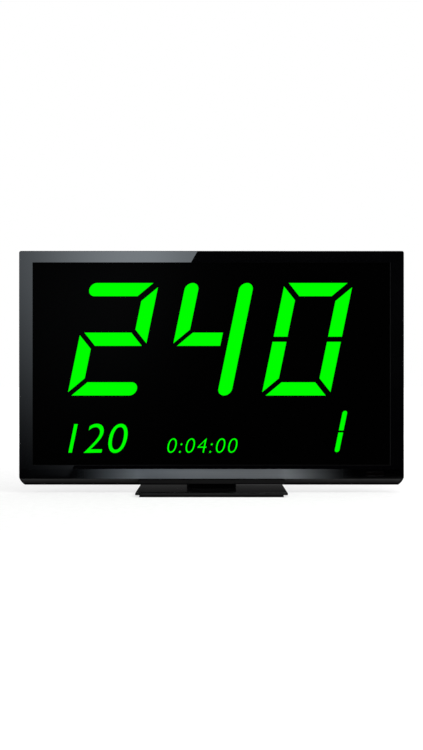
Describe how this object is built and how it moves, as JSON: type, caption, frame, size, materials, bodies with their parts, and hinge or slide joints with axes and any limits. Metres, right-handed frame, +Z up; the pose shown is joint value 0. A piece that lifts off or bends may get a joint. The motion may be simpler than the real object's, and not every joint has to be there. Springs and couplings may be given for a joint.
{
  "type": "archery timer",
  "caption": "Large flat archery shooting-timer display with a glossy front frame, moulded rear housing, side keys and a low pedestal that swivels.",
  "frame": {"origin": "on the floor, at the middle of the pedestal's footprint, which is also the middle of the whole part's footprint", "axes": "+Z up; the screen faces -Y; +X is to the right as the archers see the screen"},
  "size_m": [1.192, 0.33, 0.7496],
  "materials": {
    "gloss_black": "high gloss moulded, piano black",
    "satin_black": "fine spark-eroded texture",
    "key_black": "gloss",
    "screen_glass": "anti-glare film over the cell",
    "smoked_window": "smoked, polished",
    "dark_aluminium": "hairline brushed, dark anodised",
    "zinc_steel": "zinc plated sheet",
    "black_painted_steel": "semi-gloss powder coat",
    "socket_shell": "nickel plated",
    "socket_plastic": "satin",
    "circuit_board": "solder resist",
    "white_plastic": "matt film",
    "clear_acrylic": "polished, clear",
    "bare_aluminium": "extruded",
    "copper_winding": "enamelled wire",
    "cable_sheath": "soft PVC",
    "rubber": "matt",
    "readout": "lit picture on the screen"
  },
  "bodies": {
    "stand": {"stand_base_cover": "gloss_black", "stand_base_plate": "zinc_steel", "base_foot_front_left": "rubber", "base_foot_front_right": "rubber", "base_foot_rear_left": "rubber", "base_foot_rear_right": "rubber", "swivel_glide_ring": "white_plastic", "swivel_pivot_stud": "zinc_steel", "swivel_stop_pin": "zinc_steel", "pivot_washer": "zinc_steel", "pivot_nut": "zinc_steel"},
    "display": {"swivel_turntable": "black_painted_steel", "neck_upright": "black_painted_steel", "neck_collar": "gloss_black", "foot_screw_1": "zinc_steel", "foot_screw_2": "zinc_steel", "neck_screw_1": "zinc_steel", "neck_screw_2": "zinc_steel", "neck_screw_3": "zinc_steel", "neck_screw_4": "zinc_steel", "neck_rear_cover": "satin_black", "stand_bracket": "zinc_steel", "front_bezel": "gloss_black", "trim_strip": "dark_aluminium", "sensor_window": "smoked_window", "sensor_board": "circuit_board", "lcd_panel": "screen_glass", "panel_mid_frame": "satin_black", "diffuser_sheets": "white_plastic", "light_guide_plate": "clear_acrylic", "reflector_sheet": "white_plastic", "led_bar_upper": "circuit_board", "led_bar_lower": "circuit_board", "backlight_tray": "zinc_steel", "wall_mount_rail_left": "zinc_steel", "wall_mount_rail_right": "zinc_steel", "timer_control_board": "circuit_board", "heat_sink": "bare_aluminium", "power_supply_board": "circuit_board", "power_transformer": "copper_winding", "panel_timing_board": "circuit_board", "panel_flat_cable": "white_plastic", "power_harness": "cable_sheath", "speaker_left": "satin_black", "speaker_right": "satin_black", "rear_cover": "satin_black", "hdmi_socket_1": "socket_shell", "hdmi_socket_2": "socket_shell", "usb_socket": "socket_shell", "network_socket": "socket_shell", "sound_output_socket": "socket_plastic", "mains_inlet": "socket_plastic", "mains_switch_housing": "socket_plastic", "key_board": "circuit_board"},
    "rocker": {"mains_switch_rocker": "socket_plastic"},
    "power_key": {"power_key": "key_black"},
    "input_key": {"input_key": "key_black"},
    "menu_key": {"menu_key": "key_black"},
    "volume_up_key": {"volume_up_key": "key_black"},
    "volume_down_key": {"volume_down_key": "key_black"}
  },
  "joints": [
    {"name": "screen_swivel", "type": "hinge", "parent": "stand", "child": "display", "pos_m": [0, 0.009, 0.0097], "axis": [0, 0, 1], "range_deg": [-15, 15]},
    {"name": "mains_rocker_tilt", "type": "hinge", "parent": "display", "child": "rocker", "pos_m": [0.357, 0.011, 0.3], "axis": [1, 0, 0], "range_deg": [-16, 0]},
    {"name": "power_key_press", "type": "slide", "parent": "display", "child": "power_key", "axis": [-1, 0, 0], "range_m": [0, 0.0008], "stiffness_N_per_m": 800, "springref_m": -0.0008},
    {"name": "input_key_press", "type": "slide", "parent": "display", "child": "input_key", "axis": [-1, 0, 0], "range_m": [0, 0.0008], "stiffness_N_per_m": 800, "springref_m": -0.0008},
    {"name": "menu_key_press", "type": "slide", "parent": "display", "child": "menu_key", "axis": [-1, 0, 0], "range_m": [0, 0.0008], "stiffness_N_per_m": 800, "springref_m": -0.0008},
    {"name": "volume_up_key_press", "type": "slide", "parent": "display", "child": "volume_up_key", "axis": [-1, 0, 0], "range_m": [0, 0.0008], "stiffness_N_per_m": 800, "springref_m": -0.0008},
    {"name": "volume_down_key_press", "type": "slide", "parent": "display", "child": "volume_down_key", "axis": [-1, 0, 0], "range_m": [0, 0.0008], "stiffness_N_per_m": 800, "springref_m": -0.0008}
  ]
}
